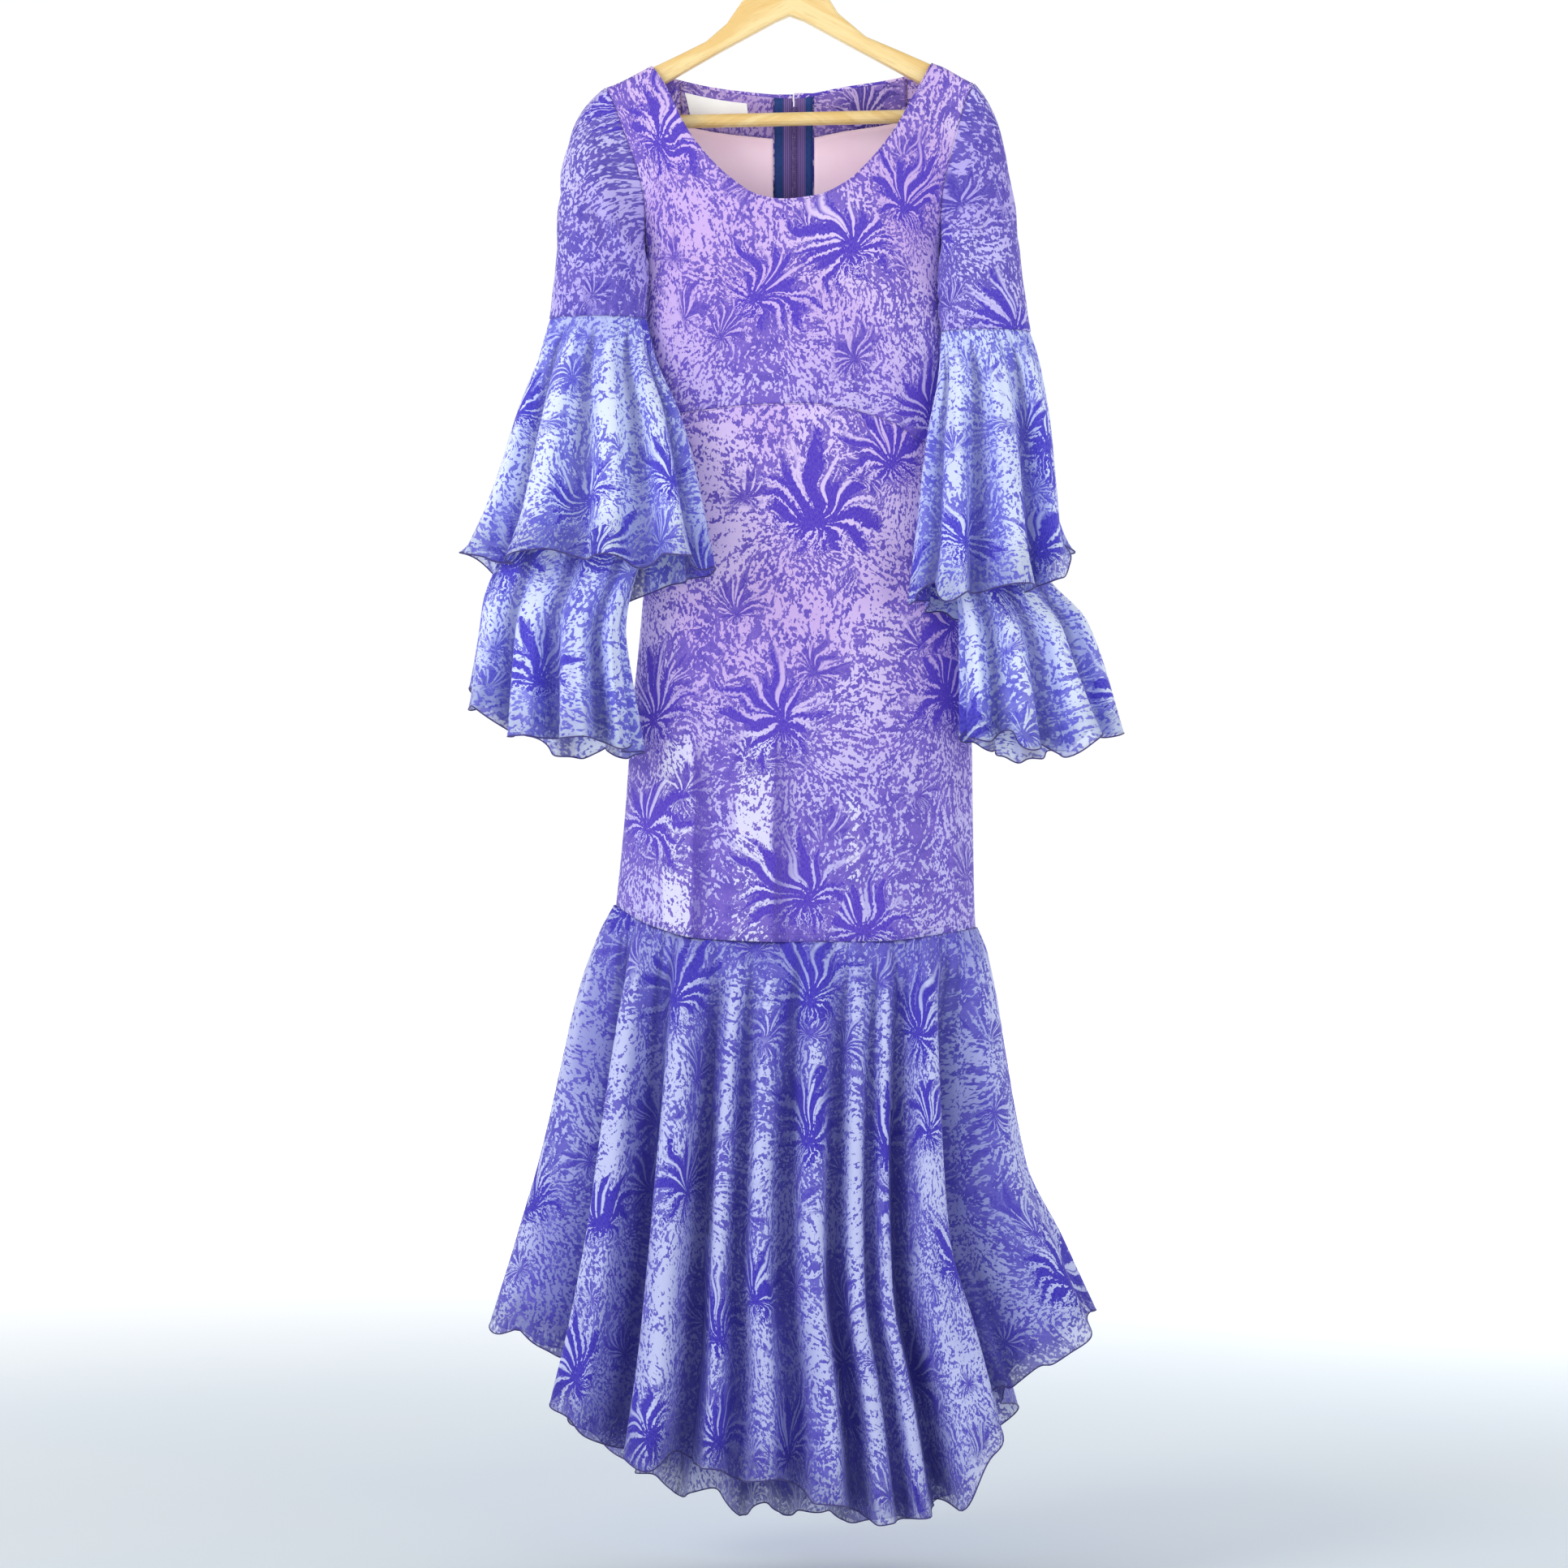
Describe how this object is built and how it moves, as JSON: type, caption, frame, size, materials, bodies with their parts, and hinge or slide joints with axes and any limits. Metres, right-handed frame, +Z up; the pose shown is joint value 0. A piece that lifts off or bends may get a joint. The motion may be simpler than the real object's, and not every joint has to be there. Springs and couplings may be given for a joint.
{
  "type": "long-sleeved dress on a wooden hanger",
  "caption": "Printed dress with a scoop neck, raised waist seam, flutter-tiered sleeves and a waved hem flounce, hung on a pale wooden hanger; zip at the centre back.",
  "frame": {"origin": "inner top of the hanger's hook, where the rail carries it", "axes": "+Z up along the hanging dress, +Y out of its back, +X to the right of someone who faces its front"},
  "size_m": [0.6346, 0.271, 1.6168],
  "materials": {
    "lilac_print": "soft printed chiffon",
    "sleeve_print": "soft printed chiffon",
    "tier_print": "sheer printed chiffon",
    "flounce_print": "sheer printed chiffon",
    "facing_print": "printed, inside out",
    "pink_lining": "plain lining",
    "blue_tape": "woven zip tape",
    "mauve_coil": "zip coil",
    "white_label": "woven, blank",
    "pale_wood": "satin varnish",
    "lilac_enamel": "satin enamel",
    "bright_metal": "bright"
  },
  "bodies": {
    "dress": {"bodice_front": "lilac_print", "bodice_back_left": "lilac_print", "bodice_back_right": "lilac_print", "skirt_front": "lilac_print", "skirt_back_left": "lilac_print", "skirt_back_right": "lilac_print", "hem_flounce_front": "flounce_print", "hem_flounce_back": "flounce_print", "sleeve_left": "sleeve_print", "sleeve_right": "sleeve_print", "sleeve_tier_upper_left": "tier_print", "sleeve_tier_upper_right": "tier_print", "sleeve_tier_lower_left": "tier_print", "sleeve_tier_lower_right": "tier_print", "neck_facing_left": "facing_print", "neck_facing_right": "facing_print", "lining_back_left": "pink_lining", "lining_back_right": "pink_lining", "zip_tape_left": "blue_tape", "zip_tape_right": "blue_tape", "zip_chain": "mauve_coil", "zip_slider": "lilac_enamel", "label": "white_label", "hanger_arms": "pale_wood", "hanger_bar": "pale_wood", "hanger_hook": "bright_metal"},
    "pull_tab": {"zip_pull_tab": "lilac_enamel"}
  },
  "joints": [
    {"name": "pull_tab_swing", "type": "hinge", "parent": "dress", "child": "pull_tab", "pos_m": [0, 0.03058, -0.20235], "axis": [1, 0, 0], "range_deg": [0, 115]}
  ]
}
